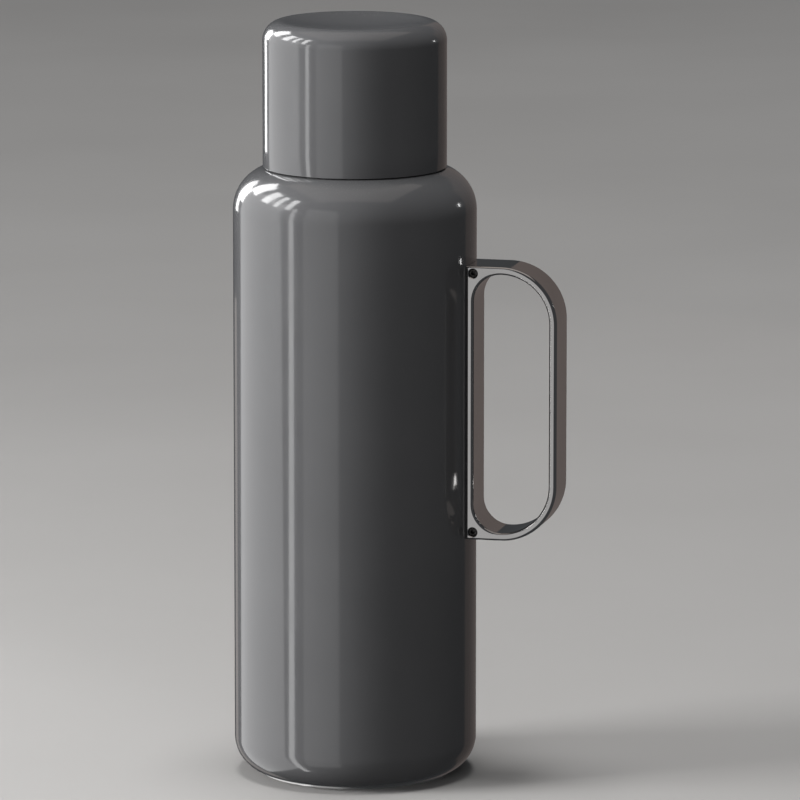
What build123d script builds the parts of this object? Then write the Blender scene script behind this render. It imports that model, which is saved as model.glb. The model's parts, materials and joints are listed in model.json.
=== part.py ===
from build123d import *
import math
import os

# Insulated growler with a side handle, a screw-on cup and a pour-through stopper.
# Millimetres. +Z up, the body's axis on Z, the underside of the foot pad at Z = 0,
# and the handle towards +X.

# Body, as seen from outside
BODY_RADIUS = 55.0
SHOULDER_START = 258.5      # where the straight wall ends
SHOULDER_RADIUS = 20.0      # rounding between wall and shoulder
SEAT_SETBACK = 0.9          # the flat neck seat ends this far inside the cup's outside
BASE_ROUNDING = 16.0
SHELL_WALL = 0.8

# Foot
RIM_INSET = 11.6            # the foot rim, in from the body's outside
RIM_WALL = 0.8
PAD_PROUD = 0.3             # the pad stands this far below the steel rim
RECESS_DEPTH = 2.2
BASE_WALL = 0.8
SEAL_HOLE = 2.0
SEAL_HEAD = 4.0
GETTER_RADIUS = 5.0
GETTER_HEIGHT = 2.2
GETTER_OFFSET = 24.0

# Inner vessel and its neck
VACUUM_GAP = 3.2
VESSEL_WALL = 0.6
VESSEL_FLOOR = 8.0
VESSEL_ROUNDING = 12.0
CEILING_GAP = 2.4
MOUTH_RADIUS = 24.0
LIP_WIDTH = 6.0             # from the mouth out to the neck's outside
NECK_LENGTH = 22.3          # the lip's height above the neck seat
FOIL_WALL = 0.15
FOIL_MARGIN = 18.0          # bare vessel left above and below the foil

# Neck collar that carries the cup's thread
COLLAR_WALL = 6.6
COLLAR_DROP = 3.0           # the collar's top below the lip

# Screw threads, both with short helical lugs
LEAD = 12.0
STARTS = 2
LUG_SWEEP = 155.0           # degrees each lug runs round
LUG_WIDTH = 2.2
LUG_TIP_WIDTH = 1.5
LUG_ROOT = 0.5              # how deep a lug's root sinks into its own wall
LUG_ENGAGED = 0.7           # radial overlap of two mating lugs
LUG_RUN = 0.55              # radial room between a lug's tip and the facing wall
CUP_LUG_RISE = 7.8          # where the collar's lugs start, above the neck seat
STOPPER_LUG_DROP = 13.0     # where the neck's lugs start, below the lip

# Cup
CUP_OVERHANG = 4.9          # the cup's outside, out from the collar
CUP_HEIGHT = 66.0
CUP_WALL = 0.8
CUP_ROUNDING = 8.8
CUP_EDGE = 0.35             # rounding of the rim's lower edge
DISH_DEPTH = 3.0
DISH_LAND = 0.3             # flat ring between the crown's rounding and the dish
LINER_WALL = 0.6
LINER_GAP = 1.5
LINER_ROUNDING = 7.5
CEILING_DROP = 6.0          # cup top down to the liner's outside
RING_HEIGHT = 14.3
RING_SETBACK = 2.4          # the thread ring starts this far inside the cup
CUP_GASKET_HEIGHT = 2.2
GASKET_INSET = 1.2          # the cup gasket's outside, in from the cup's outside
GASKET_ROOM = 0.4           # the gasket's bore, out from the collar's lugs

# Stopper
PLUG_WALL = 1.8
PLUG_LENGTH = 32.0          # from the lip down to the plug's underside
PLUG_FLOOR = 2.0
PORT_RADIUS = 5.0
FLUE_RADIUS = 12.0
FLUE_WALL = 1.0
DECK_SPIGOT = 2.0
DECK_THICKNESS = 2.0
GASKET_HEIGHT = 1.6
HEAD_OVERLAP = 4.0          # how far the head reaches over the lip
HEAD_HEIGHT = 11.7
HEAD_WALL = 2.0
HEAD_TOP = 2.5
FLUTES = 30
FLUTE_RADIUS = 1.1
WINDOWS = 4
WINDOW_RADIUS = 1.9
WINDOW_CIRCLE = 7.2
SPOUT_WIDTH = 14.0
SPOUT_HEIGHT = 3.5

# Pour valve
BUTTON_RADIUS = 11.6
BUTTON_PROUD = 4.5
BUTTON_CAP = 3.0
BUTTON_WALL = 1.4
BUTTON_LIP = 1.2
BUTTON_LIP_HEIGHT = 1.4
BOSS_RADIUS = 4.6
BOSS_DEPTH = 4.6
STEM_RADIUS = 2.5
DISC_RADIUS = 9.5
DISC_THICKNESS = 2.0
SEAL_THICKNESS = 2.1
SPRING_RADIUS = 6.2
SPRING_WIRE = 0.9
SPRING_TURNS = 3.5

# Handle
HANDLE_WIDTH = 22.6
HANDLE_STAND_OFF = 40.8     # the grip's outer face, out from the body
HANDLE_HEIGHT = 125.0
HANDLE_DROP = 22.3          # the handle's top below the start of the shoulder
HANDLE_CORNER = 26.0        # outer corners on the grip side, at most
BAND = 3.6                  # thickness of the loop's band
WEB = 2.6                   # from the body out to the opening
WEB_CORNER = 12.5           # opening's corners on the body side
HANDLE_EDGE = 1.3
SCREW_INSET = 3.4           # screw axis in from the handle's back edge and end
LUG_TALL = 4.6
LUG_BREADTH = 8.4
LUG_LENGTH = 4.1            # how far a lug stands out from the body
SCREW_RADIUS = 1.95
SCREW_RECESS = 1.2
DOG_RADIUS = 1.2
DOG_LENGTH = 3.0
SOCKET_FLATS = 2.0
SOCKET_DEPTH = 2.0

# Small roundings
COLLAR_ROUNDING = 1.0
HEAD_ROUNDING = 1.5
BUTTON_ROUNDING = 1.2
SEAL_ROUNDING = 0.6
RUBBER_ROUNDING = 0.3
SCREW_CHAMFER = 0.25

# Clearances
SEAT = 0.3                  # between pieces that rest on each other and can part
FIT = 0.1                   # between pieces assembled for good
RUN = 0.1                   # radial running clearance

# Heights and radii that follow from the sizes above
NECK_RADIUS = MOUTH_RADIUS + LIP_WIDTH
COLLAR_RADIUS = NECK_RADIUS + COLLAR_WALL
CUP_RADIUS = COLLAR_RADIUS + CUP_OVERHANG
HEAD_RADIUS = MOUTH_RADIUS + HEAD_OVERLAP
SHOULDER_EDGE = CUP_RADIUS - SEAT_SETBACK
RIM_RADIUS = BODY_RADIUS - RIM_INSET
RIM_BOTTOM = PAD_PROUD
BASE_TOP = RIM_BOTTOM + RECESS_DEPTH + BASE_WALL
SEAT_HEIGHT = SHOULDER_START + math.sqrt(
    SHOULDER_RADIUS**2 - (SHOULDER_EDGE - BODY_RADIUS + SHOULDER_RADIUS)**2)
LIP_HEIGHT = SEAT_HEIGHT + NECK_LENGTH
COLLAR_TOP = LIP_HEIGHT - COLLAR_DROP
CUP_LUG_BASE = SEAT_HEIGHT + CUP_LUG_RISE
STOPPER_LUG_BASE = LIP_HEIGHT - STOPPER_LUG_DROP
VESSEL_RADIUS = BODY_RADIUS - SHELL_WALL - VACUUM_GAP
VESSEL_CEILING = SEAT_HEIGHT - SHELL_WALL - CEILING_GAP
LUG_PITCH = LEAD / STARTS
COLLAR_TIP = COLLAR_RADIUS + LUG_ENGAGED + LUG_RUN
CUP_TIP = COLLAR_RADIUS + LUG_RUN
CUP_RING_BORE = COLLAR_TIP + LUG_RUN
RING_BOTTOM = SEAT_HEIGHT + SEAT + CUP_GASKET_HEIGHT + SEAT
RING_TOP = RING_BOTTOM + RING_HEIGHT
CUP_BOTTOM = RING_BOTTOM - RING_SETBACK
CUP_TOP = CUP_BOTTOM + CUP_HEIGHT
DISH_RADIUS = CUP_RADIUS - CUP_ROUNDING - DISH_LAND
DISH_SPHERE = (DISH_RADIUS**2 + DISH_DEPTH**2) / (2 * DISH_DEPTH)
LINER_RADIUS = CUP_RADIUS - CUP_WALL - LINER_GAP
LINER_TOP = CUP_TOP - CEILING_DROP
PLUG_BOTTOM = LIP_HEIGHT - PLUG_LENGTH
NECK_TIP = MOUTH_RADIUS - LUG_ENGAGED - LUG_RUN
PLUG_TIP = MOUTH_RADIUS - LUG_RUN
PLUG_RADIUS = NECK_TIP - LUG_RUN
DECK_BOTTOM = LIP_HEIGHT + SEAT + GASKET_HEIGHT + SEAT
DECK_TOP = DECK_BOTTOM + DECK_THICKNESS
PLUG_TOP = DECK_BOTTOM - FIT
HEAD_BOTTOM = DECK_TOP + FIT
HEAD_CEILING = HEAD_BOTTOM + HEAD_HEIGHT - HEAD_TOP
HEAD_CREST = HEAD_BOTTOM + HEAD_HEIGHT
BUTTON_TOP = HEAD_CREST + BUTTON_PROUD
BUTTON_UNDER = BUTTON_TOP - BUTTON_PROUD - BUTTON_CAP
BOSS_BOTTOM = BUTTON_UNDER - BOSS_DEPTH
BUTTON_LIP_TOP = HEAD_CEILING - SEAT
GUIDE_BORE = STEM_RADIUS + RUN
SEAL_TOP = PLUG_BOTTOM - SEAT
DISC_TOP = SEAL_TOP - SEAL_THICKNESS - FIT
HANDLE_REACH = BODY_RADIUS + HANDLE_STAND_OFF
HANDLE_HIGH = SHOULDER_START - HANDLE_DROP
HANDLE_LOW = HANDLE_HIGH - HANDLE_HEIGHT
BACK_FACE = BODY_RADIUS + WEB
LUG_REACH = BODY_RADIUS + LUG_LENGTH
SCREW_HEIGHTS = (HANDLE_LOW + SCREW_INSET, HANDLE_HIGH - SCREW_INSET)
SCREW_REACH = math.sqrt(BODY_RADIUS**2 - (HANDLE_WIDTH / 2)**2) + SCREW_INSET


def disc(radius, low, high, hole=0.0):
    """A round plate or ring on the axis, from low to high."""
    plate = Cylinder(radius, high - low, align=(Align.CENTER, Align.CENTER, Align.MIN))
    if hole:
        plate -= Cylinder(hole, 3 * (high - low))
    return Pos(0, 0, low) * plate


def screw_lugs(wall_radius, tip_radius, height):
    """One helical lug per start, rooted in the wall at wall_radius and reaching tip_radius."""
    reach = tip_radius - wall_radius
    root = -math.copysign(LUG_ROOT, reach)
    path = Helix(LEAD, LEAD * LUG_SWEEP / 360, wall_radius)
    outline = Polyline(
        (root, -LUG_WIDTH / 2),
        (reach, -LUG_TIP_WIDTH / 2),
        (reach, LUG_TIP_WIDTH / 2),
        (root, LUG_WIDTH / 2),
        close=True)
    section = Plane(origin=path @ 0, x_dir=(1, 0, 0), z_dir=path % 0) * make_face(outline)
    lug = Pos(0, 0, height) * sweep(section, path, is_frenet=True)
    return [Rot(0, 0, 360 * start / STARTS) * lug for start in range(STARTS)]


def body_solid(inset):
    """The body's outside shape with its neck, drawn in by inset on every side."""
    rounding = SHOULDER_RADIUS - inset
    foot = BASE_ROUNDING - inset
    radius = BODY_RADIUS - inset
    shoulder_x = BODY_RADIUS - SHOULDER_RADIUS
    foot_x = BODY_RADIUS - BASE_ROUNDING
    foot_z = RIM_BOTTOM + BASE_ROUNDING
    seat = SEAT_HEIGHT - inset
    edge_x = shoulder_x + math.sqrt(rounding**2 - (seat - SHOULDER_START)**2)
    halfway = math.asin((seat - SHOULDER_START) / rounding) / 2
    neck = NECK_RADIUS - inset
    base = foot_z - foot
    wall = Polyline(
        (edge_x, seat),
        (neck, seat),
        (neck, LIP_HEIGHT),
        (0, LIP_HEIGHT),
        (0, base),
        (foot_x, base))
    turn = ThreePointArc(
        (foot_x, base),
        (foot_x + foot * math.sqrt(0.5), foot_z - foot * math.sqrt(0.5)),
        (radius, foot_z))
    side = Line((radius, foot_z), (radius, SHOULDER_START))
    crown = ThreePointArc(
        (radius, SHOULDER_START),
        (shoulder_x + rounding * math.cos(halfway), SHOULDER_START + rounding * math.sin(halfway)),
        (edge_x, seat))
    return revolve(Plane.XZ * make_face(wall + turn + side + crown), Axis.Z)


def outer_shell():
    shell = body_solid(0) - body_solid(SHELL_WALL)
    shell -= disc(RIM_RADIUS + FIT, -SHELL_WALL, BASE_TOP)
    shell -= disc(NECK_RADIUS - SHELL_WALL, LIP_HEIGHT - 2 * SHELL_WALL, LIP_HEIGHT + SHELL_WALL)
    return shell


def base_plate():
    plate = disc(RIM_RADIUS, RIM_BOTTOM, BASE_TOP)
    plate -= disc(RIM_RADIUS - RIM_WALL, RIM_BOTTOM - RIM_WALL, BASE_TOP - BASE_WALL)
    return plate - disc(SEAL_HOLE, RIM_BOTTOM, BASE_TOP + BASE_WALL)


def foot_pad():
    pad = disc(RIM_RADIUS - RIM_WALL - FIT, 0, BASE_TOP - BASE_WALL - FIT)
    rim = pad.edges().filter_by(GeomType.CIRCLE).group_by(Axis.Z)[0]
    return fillet(rim, PAD_PROUD)


def vacuum_seal():
    stem = disc(SEAL_HOLE - FIT, BASE_TOP - BASE_WALL, BASE_TOP + FIT)
    return stem + disc(SEAL_HEAD, BASE_TOP + FIT, BASE_TOP + FIT + BASE_WALL)


def getter():
    capsule = disc(GETTER_RADIUS, BASE_TOP + FIT, BASE_TOP + FIT + GETTER_HEIGHT)
    crown = capsule.edges().filter_by(GeomType.CIRCLE).group_by(Axis.Z)[-1]
    return Pos(-GETTER_OFFSET, 0, 0) * fillet(crown, GETTER_HEIGHT / 3)


def vessel_solid(inset):
    """The inner vessel's outside shape with its neck, drawn in by inset on every side."""
    tank = disc(VESSEL_RADIUS - inset, VESSEL_FLOOR + inset, VESSEL_CEILING - inset)
    rims = tank.edges().filter_by(GeomType.CIRCLE).sort_by(Axis.Z)
    tank = fillet(rims[0], VESSEL_ROUNDING - inset)
    rims = tank.edges().filter_by(GeomType.CIRCLE).sort_by(Axis.Z)
    tank = fillet(rims[-1], SHOULDER_RADIUS - SHELL_WALL - VACUUM_GAP - inset)
    return tank + disc(MOUTH_RADIUS + VESSEL_WALL - inset, VESSEL_CEILING - 2 * VESSEL_WALL, LIP_HEIGHT)


def inner_vessel():
    vessel = vessel_solid(0)
    vessel += disc(NECK_RADIUS - SHELL_WALL - FIT, LIP_HEIGHT - VESSEL_WALL, LIP_HEIGHT)
    vessel -= vessel_solid(VESSEL_WALL)
    return vessel + screw_lugs(MOUTH_RADIUS, NECK_TIP, STOPPER_LUG_BASE)


def radiation_foil():
    low = VESSEL_FLOOR + FOIL_MARGIN
    high = SHOULDER_START - FOIL_MARGIN / 2
    return disc(VESSEL_RADIUS + FIT + FOIL_WALL, low, high, VESSEL_RADIUS + FIT)


def neck_collar():
    collar = disc(COLLAR_RADIUS, SEAT_HEIGHT + FIT, COLLAR_TOP, NECK_RADIUS + FIT)
    collar = fillet(collar.edges().filter_by(GeomType.CIRCLE).group_by(Axis.Z)[-1], COLLAR_ROUNDING)
    return collar + screw_lugs(COLLAR_RADIUS, COLLAR_TIP, CUP_LUG_BASE)


def handle_loop():
    width = HANDLE_REACH - BODY_RADIUS / 2
    height = HANDLE_HIGH - HANDLE_LOW
    grip_face = HANDLE_REACH - BAND
    gap = grip_face - BACK_FACE
    grip_corner = min(HANDLE_CORNER - BAND, gap - WEB_CORNER - FIT)
    outer = Rectangle(width, height, align=(Align.MAX, Align.MIN))
    outer = fillet(outer.vertices().group_by(Axis.X)[-1], grip_corner + BAND)
    opening = Rectangle(gap, height - 2 * BAND, align=(Align.MAX, Align.MIN))
    opening = fillet(opening.vertices().group_by(Axis.X)[-1], grip_corner)
    opening = fillet(opening.vertices().group_by(Axis.X)[0], WEB_CORNER)
    outline = Pos(HANDLE_REACH, HANDLE_LOW) * outer
    outline -= Pos(grip_face, HANDLE_LOW + BAND) * opening
    loop = extrude(Plane.XZ * outline, HANDLE_WIDTH / 2, both=True)
    loop = fillet(loop.faces().filter_by(Axis.Y).edges(), HANDLE_EDGE)
    loop -= disc(BODY_RADIUS + FIT, HANDLE_LOW - BAND, HANDLE_HIGH + BAND)
    for height in SCREW_HEIGHTS:
        hole = Rot(90, 0, 0) * Cylinder(SCREW_RADIUS + RUN, 2 * HANDLE_WIDTH)
        loop -= Pos(SCREW_REACH, 0, height) * hole
        loop -= lug_block(height, FIT)
    return loop


def lug_block(height, room):
    """The block that a handle lug fills, grown by room on every free side."""
    length = LUG_REACH + room - BODY_RADIUS / 2
    outward = (Align.MAX, Align.CENTER, Align.CENTER)
    block = Box(length, LUG_BREADTH + 2 * room, LUG_TALL + 2 * room, align=outward)
    block = Pos(LUG_REACH + room, 0, height) * block
    return block - disc(BODY_RADIUS + FIT / 2, height - LUG_TALL, height + LUG_TALL)


def handle_lug(height):
    hole = Rot(90, 0, 0) * Cylinder(DOG_RADIUS + RUN, 2 * LUG_BREADTH)
    return lug_block(height, 0) - Pos(SCREW_REACH, 0, height) * hole


def grub_screw():
    """A socket screw lying along +Y, its dog point towards the handle's middle plane."""
    outside = HANDLE_WIDTH / 2 - SCREW_RECESS
    inside = LUG_BREADTH / 2 + RUN
    up = (Align.CENTER, Align.CENTER, Align.MIN)
    screw = Pos(0, 0, inside) * Cylinder(SCREW_RADIUS, outside - inside, align=up)
    screw = chamfer(screw.edges().filter_by(GeomType.CIRCLE), SCREW_CHAMFER)
    screw += Pos(0, 0, inside - DOG_LENGTH) * Cylinder(DOG_RADIUS, DOG_LENGTH + SCREW_RADIUS, align=up)
    socket = RegularPolygon(SOCKET_FLATS / 2, 6, major_radius=False)
    screw -= Pos(0, 0, outside - SOCKET_DEPTH) * extrude(socket, 2 * SOCKET_DEPTH)
    return Rot(-90, 0, 0) * screw


def handle_screws():
    sides = (grub_screw(), Rot(0, 0, 180) * grub_screw())
    return [Pos(SCREW_REACH, 0, height) * side for height in SCREW_HEIGHTS for side in sides]


def cup_solid(inset):
    """The cup's outside shape with its dished top, drawn in by inset on every side."""
    block = disc(CUP_RADIUS - inset, CUP_BOTTOM, CUP_TOP - inset)
    crown = block.edges().filter_by(GeomType.CIRCLE).group_by(Axis.Z)[-1]
    block = fillet(crown, CUP_ROUNDING - inset)
    return block - Pos(0, 0, CUP_TOP - DISH_DEPTH + DISH_SPHERE) * Sphere(DISH_SPHERE + inset)


def cup_shell():
    shell = cup_solid(0) - cup_solid(CUP_WALL)
    shell -= disc(CUP_RADIUS - CUP_WALL, CUP_BOTTOM - CUP_WALL, RING_TOP)
    rim = shell.edges().filter_by(GeomType.CIRCLE).group_by(Axis.Z)[0]
    return fillet(rim, CUP_EDGE)


def liner_solid(inset):
    tub = disc(LINER_RADIUS - inset, RING_TOP + FIT, LINER_TOP - inset)
    crown = tub.edges().filter_by(GeomType.CIRCLE).group_by(Axis.Z)[-1]
    return fillet(crown, LINER_ROUNDING - inset)


def cup_liner():
    liner = liner_solid(0) - liner_solid(LINER_WALL)
    return liner - disc(LINER_RADIUS - LINER_WALL, RING_BOTTOM, RING_TOP + 2 * LINER_WALL)


def cup_thread_ring():
    ring = disc(CUP_RADIUS - CUP_WALL - FIT, RING_BOTTOM, RING_TOP, CUP_RING_BORE)
    return ring + screw_lugs(CUP_RING_BORE, CUP_TIP, CUP_LUG_BASE - LUG_PITCH / 2)


def cup_gasket():
    bore = COLLAR_TIP + GASKET_ROOM
    ring = disc(CUP_RADIUS - GASKET_INSET, SEAT_HEIGHT + SEAT, RING_BOTTOM - SEAT, bore)
    return fillet(ring.edges().filter_by(GeomType.CIRCLE), RUBBER_ROUNDING)


def stopper_plug():
    plug = disc(PLUG_RADIUS, PLUG_BOTTOM, PLUG_TOP)
    plug = chamfer(plug.edges().filter_by(GeomType.CIRCLE).group_by(Axis.Z)[0], PLUG_WALL / 2)
    floor = PLUG_BOTTOM + PLUG_FLOOR
    plug -= disc(PLUG_RADIUS - PLUG_WALL, floor, PLUG_TOP + PLUG_WALL)
    plug += disc(FLUE_RADIUS, PLUG_BOTTOM + PLUG_FLOOR / 2, DECK_BOTTOM - DECK_SPIGOT - FIT)
    plug -= disc(FLUE_RADIUS - FLUE_WALL, floor, PLUG_TOP)
    plug -= disc(PORT_RADIUS, PLUG_BOTTOM - PLUG_FLOOR, floor + PLUG_FLOOR)
    return plug + screw_lugs(PLUG_RADIUS, PLUG_TIP, STOPPER_LUG_BASE - LUG_PITCH / 2)


def stopper_core():
    low = PLUG_BOTTOM + PLUG_FLOOR + FIT
    high = DECK_BOTTOM - DECK_SPIGOT - FIT
    return disc(PLUG_RADIUS - PLUG_WALL - FIT, low, high, FLUE_RADIUS + FIT)


def stopper_deck():
    deck = disc(HEAD_RADIUS, DECK_BOTTOM, DECK_TOP)
    deck += disc(PLUG_RADIUS - PLUG_WALL - FIT, DECK_BOTTOM - DECK_SPIGOT, DECK_TOP)
    deck -= disc(GUIDE_BORE, DECK_BOTTOM - 2 * DECK_SPIGOT, DECK_TOP + DECK_SPIGOT)
    window = Pos(0, 0, DECK_BOTTOM) * Cylinder(WINDOW_RADIUS, 4 * DECK_THICKNESS)
    for spot in PolarLocations(WINDOW_CIRCLE, WINDOWS):
        deck -= spot * window
    return deck


def stopper_cover():
    cover = disc(HEAD_RADIUS, HEAD_BOTTOM, HEAD_CREST)
    cover = fillet(cover.edges().filter_by(GeomType.CIRCLE).group_by(Axis.Z)[-1], HEAD_ROUNDING)
    cover -= disc(HEAD_RADIUS - HEAD_WALL, HEAD_BOTTOM - HEAD_WALL, HEAD_CEILING)
    cover -= disc(BUTTON_RADIUS + 4 * RUN, HEAD_CEILING - HEAD_TOP, HEAD_CREST + HEAD_TOP)
    flute = Pos(0, 0, HEAD_BOTTOM) * Cylinder(FLUTE_RADIUS, 2 * (HEAD_HEIGHT - HEAD_TOP))
    for spot in PolarLocations(HEAD_RADIUS + FLUTE_RADIUS / 3, FLUTES, start_angle=180 / FLUTES):
        cover -= spot * flute
    spout = Box(4 * HEAD_WALL, SPOUT_WIDTH, SPOUT_HEIGHT)
    return cover - Pos(-HEAD_RADIUS, 0, HEAD_BOTTOM + SPOUT_HEIGHT) * spout


def stopper_gasket():
    ring = disc(HEAD_RADIUS - 4 * FIT, LIP_HEIGHT + SEAT, DECK_BOTTOM - SEAT, PLUG_TIP + SEAT)
    return fillet(ring.edges().filter_by(GeomType.CIRCLE), RUBBER_ROUNDING)


def push_button():
    button = disc(BUTTON_RADIUS, BUTTON_LIP_TOP - BUTTON_LIP_HEIGHT, BUTTON_TOP)
    button = fillet(button.edges().filter_by(GeomType.CIRCLE).group_by(Axis.Z)[-1], BUTTON_ROUNDING)
    button += disc(BUTTON_RADIUS + BUTTON_LIP, BUTTON_LIP_TOP - BUTTON_LIP_HEIGHT, BUTTON_LIP_TOP)
    button -= disc(BUTTON_RADIUS - BUTTON_WALL, BOSS_BOTTOM - BOSS_DEPTH, BUTTON_UNDER)
    button += disc(BOSS_RADIUS, BOSS_BOTTOM, BUTTON_UNDER + FIT)
    return button - disc(STEM_RADIUS + FIT, BOSS_BOTTOM - FIT, BUTTON_UNDER)


def valve_stem():
    stem = disc(STEM_RADIUS, DISC_TOP, BUTTON_UNDER - FIT)
    return stem + disc(DISC_RADIUS, DISC_TOP - DISC_THICKNESS, DISC_TOP)


def valve_seal():
    seal = disc(DISC_RADIUS - SEAT, DISC_TOP + FIT, SEAL_TOP, STEM_RADIUS + FIT)
    crown = seal.edges().filter_by(GeomType.CIRCLE).group_by(Axis.Z)[-1]
    return fillet(crown.sort_by(SortBy.RADIUS)[-1], SEAL_ROUNDING)


def valve_spring():
    low = DECK_TOP + SEAT + SPRING_WIRE / 2
    high = BUTTON_UNDER - SEAT - SPRING_WIRE / 2
    path = Helix((high - low) / SPRING_TURNS, high - low, SPRING_RADIUS)
    section = Plane(origin=path @ 0, z_dir=path % 0) * Circle(SPRING_WIRE / 2)
    return Pos(0, 0, low) * sweep(section, path, is_frenet=True)


def solids_of(shape):
    """Every solid of a shape, or of a list of shapes, as one compound."""
    pieces = shape if isinstance(shape, list) else [shape]
    solids = [solid for piece in pieces for solid in piece.solids()]
    return solids[0] if len(solids) == 1 else Compound(children=solids)


NODES = {
    "outer_shell": outer_shell(),
    "base_plate": base_plate(),
    "foot_pad": foot_pad(),
    "vacuum_seal": vacuum_seal(),
    "getter": getter(),
    "inner_vessel": inner_vessel(),
    "radiation_foil": radiation_foil(),
    "neck_collar": neck_collar(),
    "handle_loop": handle_loop(),
    "handle_lug_lower": handle_lug(SCREW_HEIGHTS[0]),
    "handle_lug_upper": handle_lug(SCREW_HEIGHTS[1]),
    "handle_screws": handle_screws(),
    "cup_shell": cup_shell(),
    "cup_liner": cup_liner(),
    "cup_thread_ring": cup_thread_ring(),
    "cup_gasket": cup_gasket(),
    "stopper_plug": stopper_plug(),
    "stopper_core": stopper_core(),
    "stopper_deck": stopper_deck(),
    "stopper_cover": stopper_cover(),
    "stopper_gasket": stopper_gasket(),
    "push_button": push_button(),
    "valve_stem": valve_stem(),
    "valve_seal": valve_seal(),
    "valve_spring": valve_spring(),
}

os.makedirs("parts", exist_ok=True)
for node, shape in NODES.items():
    export_step(solids_of(shape), f"parts/{node}.step")
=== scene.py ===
# %% [markdown]
# # A glossy insulated growler
# The growler is a tall vacuum flask: a painted steel body, a chrome handle screwed to its side,
# a screw stopper with a pour button, and a painted cup that closes over the stopper.
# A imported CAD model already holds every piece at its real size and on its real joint. This
# lesson gives it its looks: the pieces that the eye rests on are modelled again with finer
# shapes, and all the others get a finish of their own. Lengths are in metres.

import json
import math

import bmesh
import bpy
from mathutils import Matrix, Vector


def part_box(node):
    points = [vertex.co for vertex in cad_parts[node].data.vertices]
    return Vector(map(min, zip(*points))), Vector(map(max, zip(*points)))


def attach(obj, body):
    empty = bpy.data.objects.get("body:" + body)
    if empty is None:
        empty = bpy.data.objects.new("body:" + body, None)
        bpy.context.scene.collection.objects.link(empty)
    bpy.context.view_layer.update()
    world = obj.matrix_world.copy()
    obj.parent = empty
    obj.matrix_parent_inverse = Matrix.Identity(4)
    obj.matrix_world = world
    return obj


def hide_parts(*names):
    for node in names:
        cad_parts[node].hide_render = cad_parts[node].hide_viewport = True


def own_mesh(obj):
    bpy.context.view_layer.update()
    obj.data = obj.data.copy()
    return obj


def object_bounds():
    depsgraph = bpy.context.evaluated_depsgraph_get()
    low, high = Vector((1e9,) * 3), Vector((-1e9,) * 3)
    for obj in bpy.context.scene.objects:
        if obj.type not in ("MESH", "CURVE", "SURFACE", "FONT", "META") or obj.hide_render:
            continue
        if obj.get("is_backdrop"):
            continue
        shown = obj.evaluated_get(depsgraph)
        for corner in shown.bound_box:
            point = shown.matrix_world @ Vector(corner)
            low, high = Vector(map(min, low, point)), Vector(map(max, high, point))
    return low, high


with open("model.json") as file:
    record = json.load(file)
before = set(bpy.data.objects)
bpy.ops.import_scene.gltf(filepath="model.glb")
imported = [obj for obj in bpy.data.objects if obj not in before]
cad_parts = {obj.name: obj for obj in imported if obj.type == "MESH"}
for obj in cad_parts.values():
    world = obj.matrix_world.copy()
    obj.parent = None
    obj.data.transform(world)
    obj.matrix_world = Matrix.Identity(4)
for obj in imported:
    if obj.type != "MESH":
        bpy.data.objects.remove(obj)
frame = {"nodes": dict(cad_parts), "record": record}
cad_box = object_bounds()

# %% [markdown]
# ## Measure before modelling
# Every size that the CAD model can give is read from it, so the new pieces can't drift away
# from the old ones. Only what a box can't tell, such as the radius of a rounding, is written
# here as a named value.

# %% Read the sizes of the pieces
MM = 0.001
FIT = 0.1 * MM

body_low, body_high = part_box("outer_shell")
cup_low, cup_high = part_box("cup_shell")
loop_low, loop_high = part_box("handle_loop")
pad_low, pad_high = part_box("foot_pad")
rim_low, rim_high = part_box("base_plate")
collar_low, collar_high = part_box("neck_collar")
screws_low, screws_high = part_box("handle_screws")
lug_low, lug_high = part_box("handle_lug_lower")

body_radius = body_high.x
cup_radius = cup_high.x
seat_height = collar_low.z - FIT
print(f"body {2000 * body_radius:.1f} mm across, cup {2000 * cup_radius:.1f} mm across")

# %% [markdown]
# ## A pen for outlines
# Most of the growler is turned: it has the same outline all the way round. A person would
# draw half of that outline and spin it. The pen below does so with two strokes. A line
# extrudes the last vertex to a new place, and an arc spins it about the centre of a rounding,
# so every rounding is a true arc that meets its neighbours smoothly.

# %% Draw an outline in the X-Z plane
def begin(x, z):
    """Starts an outline, and gives it back with the vertex at the pen's tip."""
    outline = bmesh.new()
    return outline, outline.verts.new((x, 0, z))


def line(outline, tip, x, z, parts=1):
    """Draws straight on to (x, z) in equal parts."""
    start = tip.co.copy()
    for part in range(1, parts + 1):
        tip = bmesh.ops.extrude_vert_indiv(outline, verts=[tip])["verts"][0]
        tip.co = start.lerp(Vector((x, 0, z)), part / parts)
    return tip


def arc(outline, tip, x, z, degrees, steps):
    """Swings the tip about (x, z), clockwise as seen from the front."""
    swung = bmesh.ops.spin(
        outline, geom=[tip], cent=(x, 0, z), axis=(0, 1, 0),
        angle=math.radians(degrees), steps=steps, use_duplicate=False)
    return next(part for part in swung["geom_last"] if isinstance(part, bmesh.types.BMVert))


# %% Spin an outline round the growler's axis
TURN_STEPS = 192
MERGE = 0.001 * MM


def turned(outline, steps=TURN_STEPS):
    """Spins the whole outline once round Z and closes the seam and the poles."""
    bmesh.ops.spin(
        outline, geom=outline.verts[:] + outline.edges[:], cent=(0, 0, 0), axis=(0, 0, 1),
        angle=math.tau, steps=steps, use_merge=True, use_duplicate=False)
    bmesh.ops.remove_doubles(outline, verts=outline.verts[:], dist=MERGE)
    bmesh.ops.recalc_face_normals(outline, faces=outline.faces[:])
    return outline


# %% [markdown]
# ## From a shape to a piece
# A shape becomes a piece of the growler when it has an object, a finish and a body to ride on.
# Faces are shaded smooth, and only edges that turn by more than a set angle stay sharp. Sheet
# metal gets its thickness from a Solidify modifier, and a Bevel modifier takes the razor edge
# off its rims, which is what catches the light on real pressed steel.

# %% Make an object and put it on its body
CREASE = math.radians(38)


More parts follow.
